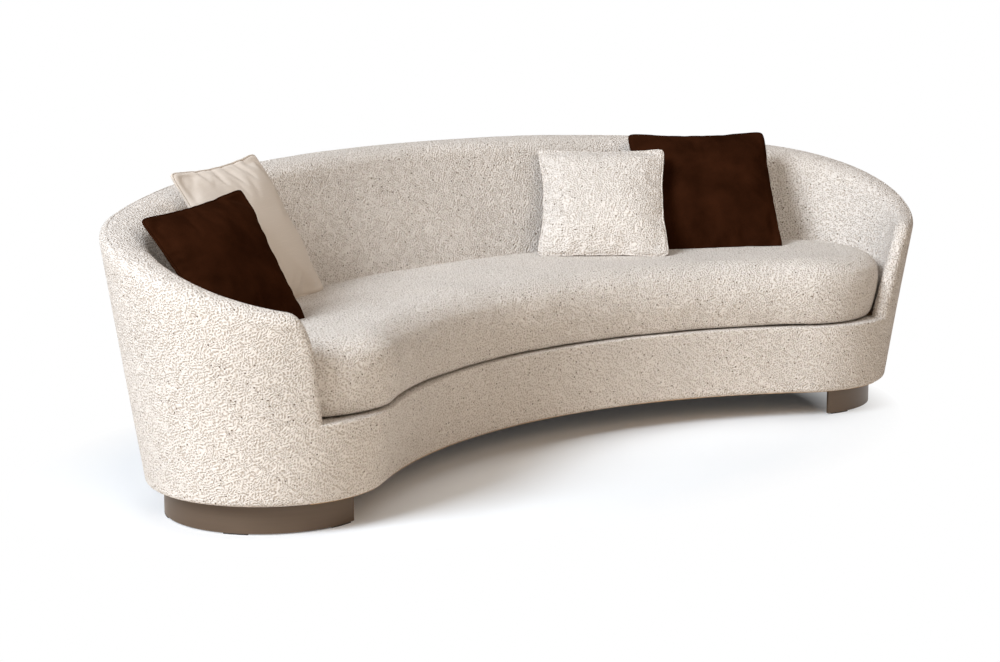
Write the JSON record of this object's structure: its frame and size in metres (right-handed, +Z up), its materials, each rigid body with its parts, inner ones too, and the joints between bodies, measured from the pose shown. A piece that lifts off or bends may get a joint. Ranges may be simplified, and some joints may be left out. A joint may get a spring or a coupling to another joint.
{
  "type": "crescent sofa",
  "caption": "Crescent-shaped sofa with a flared wrap-round back falling to the arms, long seat cushion, loose pillows and curved bronze plinths.",
  "frame": {"origin": "on the floor, under the middle of the sofa's overall box", "axes": "+Z up, +X along the sofa's width, front towards -Y"},
  "size_m": [2.6116, 1.0357, 0.793],
  "materials": {
    "boucle": "looped off-white cloth",
    "velvet": "dark brown pile",
    "linen": "smooth warm cream weave",
    "filling": "fibre filling",
    "foam": "open-cell foam",
    "lining": "matt lining cloth",
    "webbing": "woven elastic",
    "plywood": "raw plywood",
    "bronze": "satin dark bronze",
    "steel": "zinc plated",
    "felt": "felt"
  },
  "bodies": {
    "sofa_body": {"arm_post_left_1": "plywood", "arm_post_left_2": "plywood", "arm_post_right_1": "plywood", "arm_post_right_2": "plywood", "back_post_1": "plywood", "back_post_2": "plywood", "back_post_3": "plywood", "back_post_4": "plywood", "back_post_5": "plywood", "back_shell": "plywood", "base_rib_1": "plywood", "base_rib_2": "plywood", "base_rib_3": "plywood", "base_rib_4": "plywood", "base_rib_5": "plywood", "base_rib_6": "plywood", "base_rib_7": "plywood", "bottom_board": "plywood", "cross_webbing": "webbing", "deck_cloth": "lining", "dust_cloth": "lining", "end_plinth_left": "bronze", "end_plinth_right": "bronze", "end_rib_left": "plywood", "end_rib_right": "plywood", "floor_glides": "felt", "front_skin": "plywood", "inner_back_cover": "boucle", "inner_back_foam": "foam", "long_webbing": "webbing", "outer_cover": "boucle", "plinth_screws": "steel", "rear_plinth": "bronze", "seat_board": "plywood", "top_rail": "plywood"},
    "seat_cushion": {"seat_cushion_cover": "boucle", "seat_cushion_foam": "foam"},
    "boucle_pillow": {"boucle_pillow_cover": "boucle", "boucle_pillow_filling": "filling"},
    "velvet_pillow_right": {"velvet_pillow_right_cover": "velvet", "velvet_pillow_right_filling": "filling"},
    "velvet_pillow_left": {"velvet_pillow_left_cover": "velvet", "velvet_pillow_left_filling": "filling"},
    "linen_pillow": {"linen_pillow_cover": "linen", "linen_pillow_filling": "filling"}
  },
  "joints": [
    {"name": "seat_cushion_lift", "type": "slide", "parent": "sofa_body", "child": "seat_cushion", "axis": [0, 0, 1], "range_m": [0, 0.25]},
    {"name": "boucle_pillow_lift", "type": "slide", "parent": "seat_cushion", "child": "boucle_pillow", "axis": [0, 0, 1], "range_m": [0, 0.25]},
    {"name": "velvet_pillow_left_lift", "type": "slide", "parent": "seat_cushion", "child": "velvet_pillow_left", "axis": [0, 0, 1], "range_m": [0, 0.25]},
    {"name": "velvet_pillow_right_slide", "type": "slide", "parent": "seat_cushion", "child": "velvet_pillow_right", "axis": [0.3334, 0.5094, 0.7933], "range_m": [0, 0.2]},
    {"name": "linen_pillow_slide", "type": "slide", "parent": "seat_cushion", "child": "linen_pillow", "axis": [-0.2069, 0.4519, 0.8678], "range_m": [0, 0.2]}
  ]
}
